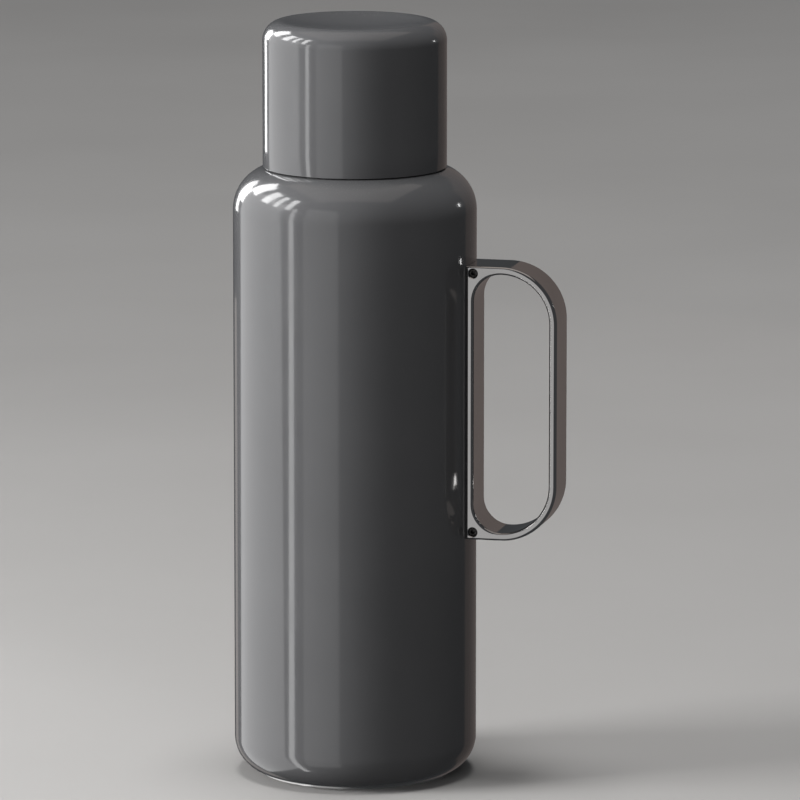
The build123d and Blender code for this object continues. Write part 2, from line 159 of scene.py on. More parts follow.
def make_piece(name, shape):
    """Turns a bmesh into a smooth object at the origin."""
    mesh = bpy.data.meshes.new(name)
    shape.to_mesh(mesh)
    shape.free()
    mesh.shade_smooth()
    mesh.set_sharp_from_angle(angle=CREASE)
    piece = bpy.data.objects.new(name, mesh)
    bpy.context.scene.collection.objects.link(piece)
    return piece


def assemble(piece, body, slot, finish, *nodes):
    """Rides the piece on a body, in place of some CAD nodes, with a finish."""
    piece.data.materials.clear()
    piece.data.materials.append(finish)
    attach(piece, body)
    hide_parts(*nodes)
    print(f"{piece.name}: {len(piece.data.polygons)} faces, rides on {body}")


# %% Give sheet metal its thickness
RIM_SEGMENTS = 3


def add_wall(piece, wall, edge):
    """Thickens the sheet inwards and rounds its rims."""
    solidify = piece.modifiers.new("wall", "SOLIDIFY")
    solidify.thickness = wall
    solidify.offset = -1
    solidify.use_even_offset = True
    bevel = piece.modifiers.new("rims", "BEVEL")
    bevel.width = edge
    bevel.segments = RIM_SEGMENTS
    bevel.limit_method = "ANGLE"
    bevel.angle_limit = CREASE


# %% [markdown]
# ## Node helpers
# A material is a small network. These helpers keep each network short to read: one adds a
# node and fills its inputs, and one starts a node group with named inputs. A number that is
# the same all over a surface is set straight on the shader.

# %% Add nodes and start groups
def add(tree, kind, settings=None, **inputs):
    """Adds a node, sets its properties, and sets or links its inputs by name."""
    node = tree.nodes.new(kind)
    for name, value in (settings or {}).items():
        setattr(node, name, value)
    for name, value in inputs.items():
        socket = node.inputs[name.replace("_", " ")]
        if isinstance(value, bpy.types.NodeSocket):
            tree.links.new(value, socket)
        else:
            socket.default_value = value
    return node


def calculate(tree, operation, *terms):
    """A Math node over one, two or three sockets or numbers."""
    node = add(tree, "ShaderNodeMath", {"operation": operation})
    for socket, term in zip(node.inputs, terms):
        if isinstance(term, bpy.types.NodeSocket):
            tree.links.new(term, socket)
        else:
            socket.default_value = term
    return node.outputs["Value"]


def start_group(name, inputs, output="Value"):
    """An empty shader group, its inputs by name, and a function that sets its output."""
    group = bpy.data.node_groups.new(name, "ShaderNodeTree")
    for label, default in inputs.items():
        socket = group.interface.new_socket(name=label, in_out="INPUT", socket_type="NodeSocketFloat")
        socket.default_value = default
    group.interface.new_socket(name=output, in_out="OUTPUT", socket_type="NodeSocketFloat")
    given = group.nodes.new("NodeGroupInput")
    result = group.nodes.new("NodeGroupOutput")

    def deliver(socket):
        group.links.new(socket, result.inputs[output])

    return group, given.outputs, deliver


def effect(tree, group, **inputs):
    """Places a shared group in a material and gives back its output socket."""
    node = add(tree, "ShaderNodeGroup", {"node_tree": group}, **inputs)
    return node.outputs[0]


# %% [markdown]
# ## Effects that several finishes share
# Real surfaces are never even. A finish drifts slowly from place to place, it has a fine grain
# of its own, turned steel keeps the rings of the tool, hands leave smudges, and dust settles
# on what faces up. Each of these is one node group, used by every material that needs it.

# %% Slow drift between two values
def make_drift():
    group, given, deliver = start_group("drift", {"Size": 0.03, "Low": 0.0, "High": 1.0})
    place = add(group, "ShaderNodeTexCoord").outputs["Object"]
    scale = calculate(group, "DIVIDE", 1.0, given["Size"])
    cloud = add(group, "ShaderNodeTexNoise", Vector=place, Scale=scale, Detail=3.0, Roughness=0.55)
    spread = add(
        group, "ShaderNodeMapRange", Value=cloud.outputs["Fac"], From_Min=0.3, From_Max=0.7,
        To_Min=given["Low"], To_Max=given["High"])
    deliver(spread.outputs["Result"])
    return group


drift = make_drift()


# %% Fine grain for a bump
def make_grain():
    group, given, deliver = start_group("grain", {"Size": 0.001, "Detail": 2.0})
    place = add(group, "ShaderNodeTexCoord").outputs["Object"]
    scale = calculate(group, "DIVIDE", 1.0, given["Size"])
    cloud = add(group, "ShaderNodeTexNoise", Vector=place, Scale=scale, Detail=given["Detail"])
    deliver(cloud.outputs["Fac"])
    return group


grain = make_grain()


# %% Rings left by turning and polishing
def make_rings():
    """Lines that run round the Z axis, on walls as on flat faces."""
    group, given, deliver = start_group("turning_rings", {"Spacing": 0.0003})
    place = add(group, "ShaderNodeTexCoord").outputs["Object"]
    parts = add(group, "ShaderNodeSeparateXYZ", Vector=place).outputs
    squares = calculate(group, "ADD", calculate(group, "POWER", parts["X"], 2.0),
                        calculate(group, "POWER", parts["Y"], 2.0))
    radius = calculate(group, "SQRT", squares)
    across = add(group, "ShaderNodeCombineXYZ", X=radius, Y=parts["Z"]).outputs["Vector"]
    scale = calculate(group, "DIVIDE", 1.0, given["Spacing"])
    lines = add(group, "ShaderNodeTexNoise", Vector=across, Scale=scale, Detail=3.0, Roughness=0.7)
    deliver(lines.outputs["Fac"])
    return group


rings = make_rings()


# %% Smudges from handling
def make_smudge():
    """Soft patches where a hand has been, 0 to 1."""
    group, given, deliver = start_group("smudge", {"Size": 0.02, "Cover": 0.4}, "Mask")
    place = add(group, "ShaderNodeTexCoord").outputs["Object"]
    scale = calculate(group, "DIVIDE", 1.0, given["Size"])
    patches = add(
        group, "ShaderNodeTexNoise", Vector=place, Scale=scale, Detail=4.0, Roughness=0.6,
        Distortion=0.8)
    threshold = calculate(group, "SUBTRACT", 0.75, calculate(group, "MULTIPLY", given["Cover"], 0.5))
    above = calculate(group, "SUBTRACT", patches.outputs["Fac"], threshold)
    sharpened = calculate(group, "MULTIPLY", above, 6.0)
    deliver(calculate(group, "MINIMUM", calculate(group, "MAXIMUM", sharpened, 0.0), 1.0))
    return group


smudge = make_smudge()


# %% Dust on what faces up
def make_dust():
    group, given, deliver = start_group("dust", {"Amount": 0.3}, "Mask")
    facing = add(group, "ShaderNodeNewGeometry").outputs["Normal"]
    upward = add(group, "ShaderNodeSeparateXYZ", Vector=facing).outputs["Z"]
    settled = calculate(group, "POWER", calculate(group, "MAXIMUM", upward, 0.0), 3.0)
    place = add(group, "ShaderNodeTexCoord").outputs["Object"]
    specks = add(group, "ShaderNodeTexNoise", Vector=place, Scale=1800.0, Detail=2.0)
    loose = calculate(group, "MULTIPLY", calculate(group, "SUBTRACT", specks.outputs["Fac"], 0.56), 7.0)
    loose = calculate(group, "MINIMUM", calculate(group, "MAXIMUM", loose, 0.0), 1.0)
    deliver(calculate(group, "MULTIPLY", calculate(group, "MULTIPLY", settled, loose), given["Amount"]))
    return group


dust = make_dust()
print("shared effects:", ", ".join(group.name for group in (drift, grain, rings, smudge, dust)))


# %% Start a material
def start_material(name, **constants):
    """A material with one Principled shader, its constants set on the shader's own sockets."""
    material = bpy.data.materials.new(name)
    material.use_nodes = True
    tree = material.node_tree
    shader = tree.nodes["Principled BSDF"]
    for label, value in constants.items():
        shader.inputs[label.replace("_", " ")].default_value = value
    return material, tree, shader


def plug_in(tree, socket, target):
    """Links a socket to an input of the shader."""
    tree.links.new(socket, target)


def blend_colours(tree, mask, first, second):
    """A colour between two others, by a mask."""
    mix = add(tree, "ShaderNodeMix", {"data_type": "RGBA"})
    tree.links.new(mask, mix.inputs["Factor"])
    for label, colour in (("A", first), ("B", second)):
        socket = next(s for s in mix.inputs if s.name == label and s.type == "RGBA")
        if isinstance(colour, bpy.types.NodeSocket):
            tree.links.new(colour, socket)
        else:
            socket.default_value = (*colour, 1.0)
    return next(s for s in mix.outputs if s.type == "RGBA")


def add_bump(tree, shader, height, depth):
    """Feeds a height pattern, so many metres deep, to the shader's normal."""
    bump = add(tree, "ShaderNodeBump", Height=height, Distance=depth, Strength=1.0)
    plug_in(tree, bump.outputs["Normal"], shader.inputs["Normal"])


# %% [markdown]
# ## Grey gloss paint
# The body and the cup are pressed from steel and sprayed with a grey stoving enamel under a
# clear lacquer. Its colour is even, so all its life is in the gloss: sharp reflections that
# the faint orange peel of sprayed lacquer bends a little, a roughness that drifts, smudges,
# and a little dust on the shoulders.

# %% Mix the paint
def make_paint():
    material, tree, shader = start_material(
        "grey_gloss_paint", Coat_Weight=0.5, Coat_Roughness=0.03, IOR=1.5)
    tone = effect(tree, drift, Size=0.05)
    colour = blend_colours(tree, tone, (0.118, 0.118, 0.122), (0.128, 0.128, 0.132))
    settled = effect(tree, dust, Amount=0.12)
    colour = blend_colours(tree, settled, colour, (0.42, 0.41, 0.39))
    plug_in(tree, colour, shader.inputs["Base Color"])
    even = effect(tree, drift, Size=0.02, Low=0.10, High=0.16)
    touched = calculate(tree, "MULTIPLY", effect(tree, smudge, Size=0.025, Cover=0.3), 0.07)
    rough = calculate(tree, "ADD", even, touched)
    rough = calculate(tree, "ADD", rough, calculate(tree, "MULTIPLY", settled, 0.8))
    plug_in(tree, rough, shader.inputs["Roughness"])
    add_bump(tree, shader, effect(tree, grain, Size=0.0018, Detail=1.0), 0.004 * MM)
    return material


paint = make_paint()


# %% [markdown]
# ## Chrome
# The handle is cast, polished and plated. Plating copies the polish below it, so the finish is
# a near mirror with two faults: a haze where fingers have been, and the long soft waves that a
# polishing wheel leaves.

# %% Plate the handle
def make_chrome():
    material, tree, shader = start_material("polished_chrome", Metallic=1.0)
    tone = effect(tree, drift, Size=0.02)
    colour = blend_colours(tree, tone, (0.60, 0.585, 0.575), (0.66, 0.645, 0.635))
    plug_in(tree, colour, shader.inputs["Base Color"])
    even = effect(tree, drift, Size=0.012, Low=0.035, High=0.075)
    haze = calculate(tree, "MULTIPLY", effect(tree, smudge, Size=0.012, Cover=0.45), 0.10)
    plug_in(tree, calculate(tree, "ADD", even, haze), shader.inputs["Roughness"])
    add_bump(tree, shader, effect(tree, grain, Size=0.006, Detail=1.0), 0.02 * MM)
    return material


chrome = make_chrome()


# %% [markdown]
# ## Bare steel
# The vessel, the cup's liner and the base are spun or turned on a lathe, and the tool leaves
# fine rings. The rings are a bump and a small change in roughness along the same lines, which
# is what stretches a highlight across them.

# %% Turn the steel
def make_steel(name, low, high, spacing, depth):
    material, tree, shader = start_material(name, Metallic=1.0)
    lines = effect(tree, rings, Spacing=spacing)
    colour = blend_colours(tree, lines, low, high)
    plug_in(tree, colour, shader.inputs["Base Color"])
    even = effect(tree, drift, Size=0.015, Low=0.20, High=0.30)
    rough = calculate(tree, "ADD", even, calculate(tree, "MULTIPLY", lines, 0.14))
    plug_in(tree, rough, shader.inputs["Roughness"])
    add_bump(tree, shader, lines, depth)
    return material


steel = make_steel("turned_steel", (0.50, 0.50, 0.49), (0.64, 0.63, 0.62), 0.5 * MM, 0.006 * MM)
foil = make_steel("copper_foil", (0.66, 0.34, 0.21), (0.80, 0.47, 0.32), 4 * MM, 0.05 * MM)


# %% [markdown]
# ## Black oxide on the screws
# The grub screws that pin the handle are blackened steel. Oil and wear leave the edges of the
# black patchy, so the colour moves between black and the steel below.

# %% Blacken the screws
def make_black_oxide():
    material, tree, shader = start_material("black_oxide_steel", Metallic=1.0)
    worn = effect(tree, smudge, Size=0.002, Cover=0.5)
    colour = blend_colours(tree, worn, (0.05, 0.048, 0.046), (0.16, 0.155, 0.15))
    plug_in(tree, colour, shader.inputs["Base Color"])
    plug_in(tree, effect(tree, drift, Size=0.002, Low=0.3, High=0.5), shader.inputs["Roughness"])
    add_bump(tree, shader, effect(tree, grain, Size=0.0004), 0.01 * MM)
    return material


black_oxide = make_black_oxide()


# %% [markdown]
# ## Moulded plastic, rubber, silicone and foam
# These share one recipe: a base colour with a slow drift, a roughness with its own drift, and
# a grain. Spark-eroded plastic has a fine sharp grain, rubber a softer and duller one, silicone
# lets light in, and foam has open cells.

# %% Mould the soft and plastic pieces
def make_moulded(name, dark, light, rough, grain_size, depth, **constants):
    material, tree, shader = start_material(name, **constants)
    tone = effect(tree, drift, Size=12 * MM)
    colour = blend_colours(tree, tone, dark, light)
    settled = effect(tree, dust, Amount=0.15)
    colour = blend_colours(tree, settled, colour, (0.40, 0.39, 0.37))
    plug_in(tree, colour, shader.inputs["Base Color"])
    low, high = rough
    plug_in(tree, effect(tree, drift, Size=6 * MM, Low=low, High=high), shader.inputs["Roughness"])
    add_bump(tree, shader, effect(tree, grain, Size=grain_size, Detail=3.0), depth)
    return material


black_plastic = make_moulded(
    "black_plastic", (0.018, 0.018, 0.020), (0.026, 0.026, 0.028), (0.34, 0.46), 0.35 * MM, 0.012 * MM)
grey_plastic = make_moulded(
    "grey_plastic", (0.20, 0.20, 0.205), (0.24, 0.24, 0.245), (0.30, 0.42), 0.35 * MM, 0.012 * MM)
rubber = make_moulded(
    "black_rubber", (0.014, 0.014, 0.014), (0.024, 0.023, 0.022), (0.62, 0.80), 0.5 * MM, 0.02 * MM)
silicone = make_moulded(
    "clear_silicone", (0.62, 0.62, 0.60), (0.70, 0.70, 0.68), (0.38, 0.50), 0.6 * MM, 0.01 * MM,
    Subsurface_Weight=0.6, Subsurface_Scale=2 * MM)
foam = make_moulded(
    "cream_foam", (0.62, 0.58, 0.48), (0.72, 0.68, 0.58), (0.85, 0.95), 0.7 * MM, 0.15 * MM)
print("finishes:", len(bpy.data.materials))


# %% [markdown]
# ## The painted body
# The body is one steel skin, drawn into a tube with a round shoulder, a flat seat for the cup,
# and a short neck. It could be a cylinder with bevelled rims, but its shoulder and foot are
# arcs of different radius that stop short of a quarter turn, so it is drawn with the pen and
# spun. The long wall is cut into several rings, which keeps its reflections straight.

# %% Press the body
NECK_RADIUS = 30.0 * MM
SEAT_EDGE = 40.6 * MM
SHOULDER_ROUNDING = 20.0 * MM
BASE_ROUNDING = 16.0 * MM
SHELL_WALL = 0.8 * MM
SHEET_EDGE = 0.25 * MM
ROUNDING_STEPS = 28
WALL_RINGS = 12
NECK_RINGS = 4
SEAT_RINGS = 3


def press_body():
    rim_gap = rim_high.x + FIT
    shoulder_x = body_radius - SHOULDER_ROUNDING
    foot_x = body_radius - BASE_ROUNDING
    foot_z = rim_low.z + BASE_ROUNDING
    lean = math.asin((SEAT_EDGE - shoulder_x) / SHOULDER_ROUNDING)
    shoulder_z = seat_height - SHOULDER_ROUNDING * math.cos(lean)
    curl = math.acos((rim_gap - foot_x) / BASE_ROUNDING)
    outline, tip = begin(NECK_RADIUS, body_high.z)
    tip = line(outline, tip, NECK_RADIUS, seat_height, NECK_RINGS)
    tip = line(outline, tip, SEAT_EDGE, seat_height, SEAT_RINGS)
    tip = arc(outline, tip, shoulder_x, shoulder_z, 90 - math.degrees(lean), ROUNDING_STEPS)
    tip = line(outline, tip, body_radius, foot_z, WALL_RINGS)
    arc(outline, tip, foot_x, foot_z, math.degrees(curl), ROUNDING_STEPS)
    shell = make_piece("painted_body", turned(outline))
    add_wall(shell, SHELL_WALL, SHEET_EDGE)
    assemble(shell, "bottle", "painted_steel", paint, "outer_shell")


press_body()


# %% [markdown]
# ## The cup
# The cup is pressed from the same steel. Its crown rolls over in one rounding and runs on,
# without an edge, into a shallow dish. The rounding is carried past the top by the slope that
# the dish has at its rim, so the two arcs share a tangent there.

# %% Press the cup
CROWN_ROUNDING = 8.8 * MM
DISH_DEPTH = 3.0 * MM
CUP_WALL = 0.8 * MM
CUP_RINGS = 6


def press_cup():
    crown_x = cup_radius - CROWN_ROUNDING
    crown_z = cup_high.z - CROWN_ROUNDING
    slope = 2 * math.atan(DISH_DEPTH / crown_x)
    dish_edge = crown_x - CROWN_ROUNDING * math.sin(slope)
    dish_sphere = dish_edge / math.sin(slope)
    dish_floor = crown_z + CROWN_ROUNDING * math.cos(slope) - dish_sphere * (1 - math.cos(slope))
    outline, tip = begin(0, dish_floor)
    tip = arc(outline, tip, 0, dish_floor + dish_sphere, -math.degrees(slope), ROUNDING_STEPS)
    tip = arc(outline, tip, crown_x, crown_z, 90 + math.degrees(slope), ROUNDING_STEPS)
    line(outline, tip, cup_radius, cup_low.z, CUP_RINGS)
    shell = make_piece("painted_cup", turned(outline))
    add_wall(shell, CUP_WALL, SHEET_EDGE)
    assemble(shell, "cup", "painted_steel", paint, "cup_shell")


press_cup()


# %% [markdown]
# ## The handle
# The handle is a flat loop, bored across at both ends for its screws. Its outline is two
# closed loops, drawn with the same pen and bridged into a flat band. The band is extruded to
# the handle's width, its back is laid against the round body, and every long edge is rounded,
# because a polished edge is a bright line and a sharp one is nothing. The bores are cut last,
# with a small countersink.

# %% Draw the two loops of the handle
BAND = 3.6 * MM
OPENING_BACK = 57.6 * MM
GRIP_ROUNDING = 22.0 * MM
WEB_ROUNDING = 12.5 * MM
LOOP_STEPS = 24
CORNER_STEPS = 6
ARM_CUTS = 4


def close_loop(outline, tip, start):
    """Joins the pen's tip to the vertex where the loop began."""
    bmesh.ops.pointmerge(outline, verts=[tip, start], merge_co=start.co)


def back_corner(outline, tip, corner, end, centre):
    """Turns a quarter clockwise to its end: round a centre, or by way of a square corner."""
    if centre:
        return arc(outline, tip, *centre, 90, 2 * CORNER_STEPS)
    tip = line(outline, tip, *corner, CORNER_STEPS)
    return line(outline, tip, *end, CORNER_STEPS)


def rounded_loop(outline, low, high, back, front, square=False):
    """A closed loop between two corners, clockwise, with its two back corners round or square.

    Both kinds have as many vertices, so that a pair of loops bridges into plain quads.
    """
    left, bottom = low
    right, top = high
    start = outline.verts.new((left, 0, bottom + back))
    tip = line(outline, start, left, top - back, WALL_RINGS)
    centre = None if square else (left + back, top - back)
    tip = back_corner(outline, tip, (left, top), (left + back, top), centre)
    tip = line(outline, tip, right - front, top, ARM_CUTS)
    tip = arc(outline, tip, right - front, top - front, 90, LOOP_STEPS)
    tip = line(outline, tip, right, bottom + front, WALL_RINGS)
    tip = arc(outline, tip, right - front, bottom + front, 90, LOOP_STEPS)
    tip = line(outline, tip, left + back, bottom, ARM_CUTS)
    centre = None if square else (left + back, bottom + back)
    tip = back_corner(outline, tip, (left, bottom), (left, bottom + back), centre)
    close_loop(outline, tip, start)


def handle_band():
    """The handle's flat outline, bridged, in the plane of its front face."""
    back = math.sqrt((body_radius + FIT) ** 2 - loop_high.y ** 2)
    band = bmesh.new()
    rounded_loop(
        band, (back, loop_low.z), (loop_high.x, loop_high.z), WEB_ROUNDING + BAND,
        GRIP_ROUNDING + BAND, square=True)
    rounded_loop(
        band, (OPENING_BACK, loop_low.z + BAND), (loop_high.x - BAND, loop_high.z - BAND),
        WEB_ROUNDING, GRIP_ROUNDING)
    bmesh.ops.bridge_loops(band, edges=band.edges[:])
    bmesh.ops.translate(band, vec=(0, loop_low.y, 0), verts=band.verts[:])
    return band


# %% Extrude the band and lay its back against the body
WIDTH_CUTS = 11
LOOP_EDGE = 1.3 * MM
EDGE_SEGMENTS = 6


def across(edge):
    """Whether an edge runs across the handle's width."""
    return abs(edge.verts[0].co.y - edge.verts[1].co.y) > MERGE


def extrude_band(band):
    """Draws the band out to the handle's width and rounds both of its outlines, front and back."""
    grown = bmesh.ops.extrude_face_region(band, geom=band.faces[:])["geom"]
    moved = [part for part in grown if isinstance(part, bmesh.types.BMVert)]
    bmesh.ops.translate(band, vec=(0, loop_high.y - loop_low.y, 0), verts=moved)
    bmesh.ops.recalc_face_normals(band, faces=band.faces[:])
    sides = {face for edge in band.edges if across(edge) for face in edge.link_faces}
    outlines = [edge for edge in band.edges if len(sides.intersection(edge.link_faces)) == 1]
    bmesh.ops.bevel(
        band, geom=outlines, offset=LOOP_EDGE, offset_type="OFFSET", affect="EDGES",
        segments=EDGE_SEGMENTS, profile=0.5, material=-1, clamp_overlap=False)


def lay_against_body(band):
    """Divides the width, then moves what lies inside the body's curve out onto it."""
    half_width = loop_high.y
    wide = [
        edge for edge in band.edges
        if abs(edge.verts[0].co.y - edge.verts[1].co.y) > half_width]
    bmesh.ops.subdivide_edges(band, edges=wide, cuts=WIDTH_CUTS, use_grid_fill=True)
    for vertex in band.verts:
        curve = math.sqrt((body_radius + FIT) ** 2 - vertex.co.y ** 2)
        vertex.co.x = max(vertex.co.x, curve)
    band.normal_update()


# %% Bore the handle
BORE_FLARE = 0.35 * MM
BORE_STEPS = 48


def bore_cutter(radius, height, reach):
    """A drill across the handle, wider where it leaves each flat face."""
    half = loop_high.y
    drill, tip = begin(0, -half - MM)
    tip = line(drill, tip, radius + BORE_FLARE + MM, -half - MM)
    tip = line(drill, tip, radius, -half + BORE_FLARE)
    tip = line(drill, tip, radius, half - BORE_FLARE)
    tip = line(drill, tip, radius + BORE_FLARE + MM, half + MM)
    line(drill, tip, 0, half + MM)
    turned(drill, BORE_STEPS)
    bmesh.ops.rotate(
        drill, cent=(0, 0, 0), matrix=Matrix.Rotation(math.radians(90), 3, "X"), verts=drill.verts[:])
    bmesh.ops.translate(drill, vec=(reach, 0, height), verts=drill.verts[:])
    return drill


def pocket_cutter(height):
    """The pocket that a lug of the body fills."""
    size = lug_high - lug_low
    block = bmesh.new()
    bmesh.ops.create_cube(block, size=1)
    bmesh.ops.scale(
        block, vec=(size.x + BAND, size.y + 2 * FIT, size.z + 2 * FIT), verts=block.verts[:])
    far = lug_high.x + FIT - (size.x + BAND) / 2
    bmesh.ops.translate(block, vec=(far, 0, height), verts=block.verts[:])
    return block


def cut(piece, shape):
    """Takes a shape out of a piece for good and throws the cutter away."""
    cutter = make_piece("cutter", shape)
    boolean = piece.modifiers.new("cut", "BOOLEAN")
    boolean.operation = "DIFFERENCE"
    boolean.solver = "EXACT"
    boolean.object = cutter
    evaluated = piece.evaluated_get(bpy.context.evaluated_depsgraph_get())
    result = bpy.data.meshes.new_from_object(evaluated)
    piece.modifiers.clear()
    piece.data = result
    bpy.data.objects.remove(cutter)


def make_handle():
    band = handle_band()
    extrude_band(band)
    lay_against_body(band)
    loop = make_piece("chrome_handle", band)
    screw_radius = (screws_high.x - screws_low.x) / 2
    screw_reach = (screws_high.x + screws_low.x) / 2
    for height in (screws_low.z + screw_radius, screws_high.z - screw_radius):
        cut(loop, pocket_cutter(height))
        cut(loop, bore_cutter(screw_radius + FIT, height, screw_reach))
    loop.data.shade_smooth()
    loop.data.set_sharp_from_angle(angle=CREASE)
    weighted = loop.modifiers.new("even shading", "WEIGHTED_NORMAL")
    weighted.keep_sharp = True
    assemble(loop, "bottle", "chrome", chrome, "handle_loop")


make_handle()


# %% [markdown]
# ## The foot pad
# A rubber disc is glued inside the steel rim of the base. Its underside has rings, so that it
# grips a wet table. Each ring is a small step in the outline, drawn by a loop.

# %% Mould the foot pad
RING_COUNT = 6
RING_PITCH = 5.0 * MM
RING_DEPTH = 0.6 * MM
FIRST_RING = 9.0 * MM
PAD_EDGE = 0.3 * MM
PAD_EDGE_STEPS = 5


def mould_foot():
    outline, tip = begin(0, pad_low.z + RING_DEPTH)
    for ring in range(RING_COUNT):
        inner = FIRST_RING + ring * RING_PITCH
        outer = inner + RING_PITCH / 2
        tip = line(outline, tip, inner, pad_low.z + RING_DEPTH)
        tip = line(outline, tip, inner + RING_DEPTH / 2, pad_low.z)
        tip = line(outline, tip, outer, pad_low.z)
        tip = line(outline, tip, outer + RING_DEPTH / 2, pad_low.z + RING_DEPTH)
    tip = line(outline, tip, outer + RING_PITCH / 2, pad_low.z)
    tip = line(outline, tip, pad_high.x - PAD_EDGE, pad_low.z)
    tip = arc(outline, tip, pad_high.x - PAD_EDGE, pad_low.z + PAD_EDGE, -90, PAD_EDGE_STEPS)
    tip = line(outline, tip, pad_high.x, pad_high.z)
    line(outline, tip, 0, pad_high.z)
    pad = make_piece("ringed_foot_pad", turned(outline))
    assemble(pad, "bottle", "black_rubber", rubber, "foot_pad")


mould_foot()


# %% [markdown]
# ## The valve spring
# The spring under the pour button is a round wire wound on a helix. A small ring of vertices is
# the wire's section, and a spin that also rises draws it into the coil. The spring stands on the
# stopper and rides with it.

# %% Wind the spring
SPRING_WIRE = 0.9 * MM
SPRING_TURNS = 3.5
SPRING_STEPS = 168
WIRE_SIDES = 12


def wind_spring():
    low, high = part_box("valve_spring")
    thickness = SPRING_WIRE / 2
    coil = bmesh.new()
    bmesh.ops.create_circle(coil, segments=WIRE_SIDES, radius=thickness)
    bmesh.ops.rotate(
        coil, cent=(0, 0, 0), matrix=Matrix.Rotation(math.radians(90), 3, "X"), verts=coil.verts[:])
    bmesh.ops.translate(coil, vec=(high.x - thickness, 0, low.z + thickness), verts=coil.verts[:])
    rise = (high.z - low.z - SPRING_WIRE) / SPRING_STEPS
    bmesh.ops.spin(
        coil, geom=coil.verts[:] + coil.edges[:], cent=(0, 0, 0), axis=(0, 0, 1),
        dvec=(0, 0, rise), angle=SPRING_TURNS * math.tau, steps=SPRING_STEPS)
    bmesh.ops.holes_fill(coil, edges=coil.edges[:], sides=WIRE_SIDES)
    bmesh.ops.recalc_face_normals(coil, faces=coil.faces[:])
    spring = make_piece("wound_spring", coil)
    assemble(spring, "stopper", "screw_steel", black_oxide, "valve_spring")
    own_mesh(spring)


wind_spring()


# %% [markdown]
# ## Finishes for the CAD pieces that stay
# The other pieces keep their CAD shape, which is already right: threads, gaskets, the stopper
# and its valve, and what is sealed inside. Each takes the finish that its material slot in the
# record calls for.

# %% Dress the CAD nodes
FINISH_OF_SLOT = {
    "painted_steel": paint,
    "bare_steel": steel,
    "chrome": chrome,
    "copper_foil": foil,
    "black_rubber": rubber,
    "clear_silicone": silicone,
    "black_plastic": black_plastic,
    "grey_plastic": grey_plastic,
    "foam": foam,
    "screw_steel": black_oxide,
}


def dress_nodes():
    for part in frame["record"]["subparts"]:
        node = frame["nodes"][part["node"]]
        for slot in node.material_slots:
            slot.material = FINISH_OF_SLOT[part["material_slot"]]


dress_nodes()


# %% [markdown]
# ## The studio
# Gloss shows what stands around it more than itself, so the light that falls on the growler
# and the things that it reflects are made apart. Three lights shine on it: a soft key from the
# window side, a weak fill beside the camera and one overhead. The rest are cards, which light
# nothing and only show as reflections: window panes for the bright patches on the shoulders, a
# gap between curtains for the long line down the body, pale and brown walls for the chrome.
# The floor hides from reflections, because the cards reach below it, and the room is dim.

# %% Lay the floor
FLOOR_SIZE = 40.0
FLOOR_BOUNCE = (0.09, 0.085, 0.08)
CAMERA_AZIMUTH = 14.0


def lay_floor():
    shape = bmesh.new()
    bmesh.ops.create_grid(shape, x_segments=1, y_segments=1, size=FLOOR_SIZE / 2)
    floor = make_piece("floor", shape)
    material, tree, shader = start_material("pale_floor", Specular_IOR_Level=0.2)
    tone = effect(tree, drift, Size=0.6)
    pale = blend_colours(tree, tone, (0.44, 0.43, 0.42), (0.48, 0.47, 0.46))
    seen = add(tree, "ShaderNodeLightPath").outputs["Is Camera Ray"]
    plug_in(tree, blend_colours(tree, seen, FLOOR_BOUNCE, pale), shader.inputs["Base Color"])
    plug_in(tree, effect(tree, drift, Size=0.2, Low=0.55, High=0.7), shader.inputs["Roughness"])
    floor.data.materials.append(material)
    floor.visible_glossy = False
    floor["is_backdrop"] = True


lay_floor()


# %% Place things round the growler
AIM_HEIGHT = 0.2


def from_camera(degrees_left, distance, height):
    """A place so many degrees to the left of the camera, as seen from the growler."""
    angle = math.radians(CAMERA_AZIMUTH - degrees_left)
    return Vector((distance * math.sin(angle), -distance * math.cos(angle), height))


def soft_box(name, place, size, brightness, colour=(1.0, 1.0, 1.0)):
    """A rectangular light of a given brightness that faces the growler."""
    light = bpy.data.lights.new(name, "AREA")
    light.shape = "RECTANGLE"
    light.size, light.size_y = size
    light.energy = brightness * math.pi * light.size * light.size_y
    light.color = colour
    lamp = bpy.data.objects.new(name, light)
    lamp.location = place
    lamp.rotation_euler = (Vector((0, 0, AIM_HEIGHT)) - place).to_track_quat("-Z", "Y").to_euler()
    lamp.visible_camera = False
    bpy.context.scene.collection.objects.link(lamp)
    return lamp


# %% Shine on the growler
KEY_BRIGHTNESS = 17.0
KEY_SIZE = (0.5, 0.9)
FILL_BRIGHTNESS = 2.4
FILL_SIZE = (1.0, 1.0)
OVERHEAD_BRIGHTNESS = 18.0
OVERHEAD_SIZE = (2.0, 2.0)
OVERHEAD_HEIGHT = 6.0
WINDOW_DISTANCE = 1.3


def hang_lights():
    """The lights that shine on the growler and don't show in it."""
    lights = (
        soft_box("key", from_camera(76, WINDOW_DISTANCE, 0.45), KEY_SIZE, KEY_BRIGHTNESS),
        soft_box("fill", from_camera(12, 2.0, 0.6), FILL_SIZE, FILL_BRIGHTNESS),
        soft_box("overhead", Vector((0, 0, OVERHEAD_HEIGHT)), OVERHEAD_SIZE, OVERHEAD_BRIGHTNESS),
    )
    for light in lights:
        light.visible_glossy = False
    print(len(lights), "lights")


hang_lights()


# %% Stand the cards round it
DAYLIGHT = (1.0, 1.0, 1.0)
WARM = (1.0, 0.9, 0.84)
WOOD = (1.0, 0.72, 0.6)
PANE_WIDTHS = {70: 0.16, 86: 0.15, 103: 0.3, 130: 0.4}
PANE_LENGTH = 0.6
PANE_HEIGHT = 1.1
PANE_BRIGHTNESS = 8.0

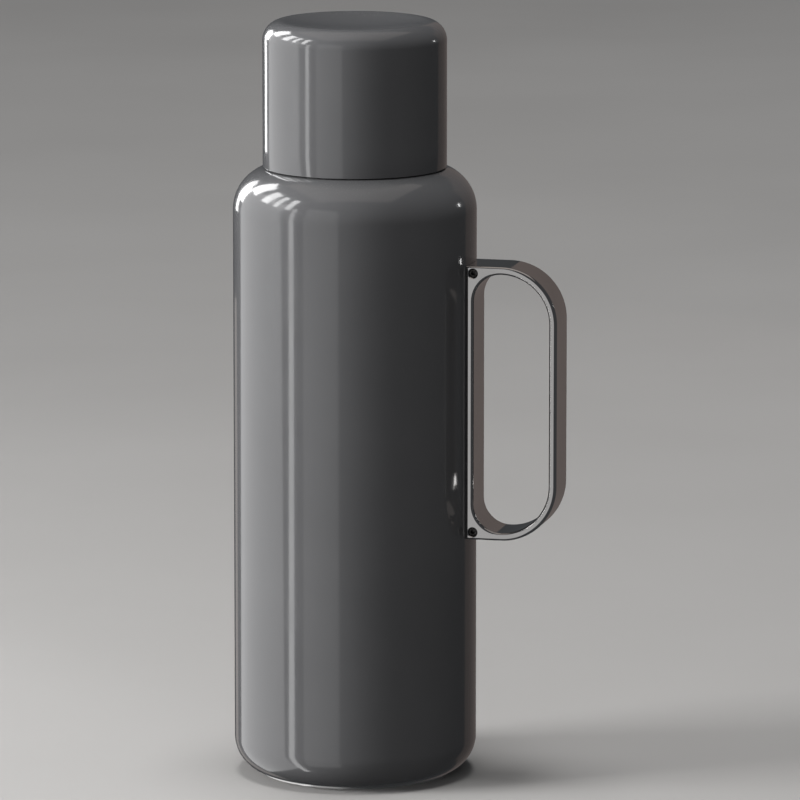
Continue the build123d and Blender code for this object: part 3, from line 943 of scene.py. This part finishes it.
# Degrees to the left of the camera, distance, height, size, brightness and colour
CARDS = {
    "low_window": (142, WINDOW_DISTANCE, 0.55, (0.36, 0.4), 7.0, DAYLIGHT),
    "window_behind": (144, 0.6, 0.36, (0.09, 0.36), 4.0, DAYLIGHT),
    "curtain": (102, 0.5, 0.1, (0.62, 1.1), 1.15, DAYLIGHT),
    "curtain_gap": (59, 0.42, 0.08, (0.04, 0.9), 3.2, DAYLIGHT),
    "pale_wall": (32, 1.0, 0.1, (0.6, 1.6), 0.45, DAYLIGHT),
    "warm_wall": (152, 0.6, -0.16, (0.12, 0.6), 0.3, WARM),
    "cupboard": (-150, 1.2, 0.1, (1.0, 1.6), 0.08, WOOD),
    "far_window": (-118, 1.6, 0.5, (0.07, 0.12), 8.0, DAYLIGHT),
    "ceiling": (0, 0.01, 2.4, (2.6, 2.6), 0.35, WARM),
}


def stand_card(name, left, distance, height, size, brightness, colour):
    """A soft box that only shows as a reflection."""
    card = soft_box(name, from_camera(left, distance, height), size, brightness, colour)
    card.visible_diffuse = False


def stand_cards():
    for number, (left, width) in enumerate(PANE_WIDTHS.items()):
        stand_card(
            f"window_pane_{number}", left, WINDOW_DISTANCE, PANE_HEIGHT, (width, PANE_LENGTH),
            PANE_BRIGHTNESS, DAYLIGHT)
    for name, values in CARDS.items():
        stand_card(name, *values)
    print(len(PANE_WIDTHS) + len(CARDS), "cards")


stand_cards()


# %% Dim the room
ROOM_LIGHT = 0.06


def dim_room():
    world = bpy.data.worlds.new("room")
    bpy.context.scene.world = world
    world.use_nodes = True
    background = world.node_tree.nodes["Background"]
    background.inputs["Color"].default_value = (0.9, 0.94, 1.0, 1.0)
    background.inputs["Strength"].default_value = ROOM_LIGHT


dim_room()


# %% [markdown]
# ## The camera
# The camera stands a good way off with a long lens, a little above the growler, which keeps
# its sides nearly parallel. It is turned by angles, not aimed at a point, so that the growler
# sits a little off the middle of the frame.

# %% Set up the camera
CAMERA_DISTANCE = 3.303
CAMERA_HEIGHT = 0.764
CAMERA_TILT = 10.18
CAMERA_PAN = -0.353
CAMERA_LENS = 333.4
SENSOR_WIDTH = 36.0


def set_camera():
    data = bpy.data.cameras.new("camera")
    data.lens = CAMERA_LENS
    data.sensor_width = SENSOR_WIDTH
    camera = bpy.data.objects.new("camera", data)
    camera.location = from_camera(0, CAMERA_DISTANCE, CAMERA_HEIGHT)
    camera.rotation_euler = (
        math.radians(90 - CAMERA_TILT), 0, math.radians(CAMERA_AZIMUTH + CAMERA_PAN))
    bpy.context.scene.collection.objects.link(camera)
    bpy.context.scene.camera = camera
    bpy.context.scene.view_settings.view_transform = "Standard"


set_camera()


# %% [markdown]
# ## The sizes
# Looks must not change sizes, so the box of the finished growler is printed beside the
# box of the CAD model.

# %% Print both boxes
def write_sizes():
    visual_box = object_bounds()
    boxes = {
        "cad": [list(corner) for corner in cad_box],
        "visual": [list(corner) for corner in visual_box],
    }
    for name, (low, high) in boxes.items():
        print(name, [round(1000 * (b - a), 2) for a, b in zip(low, high)], "mm")


write_sizes()
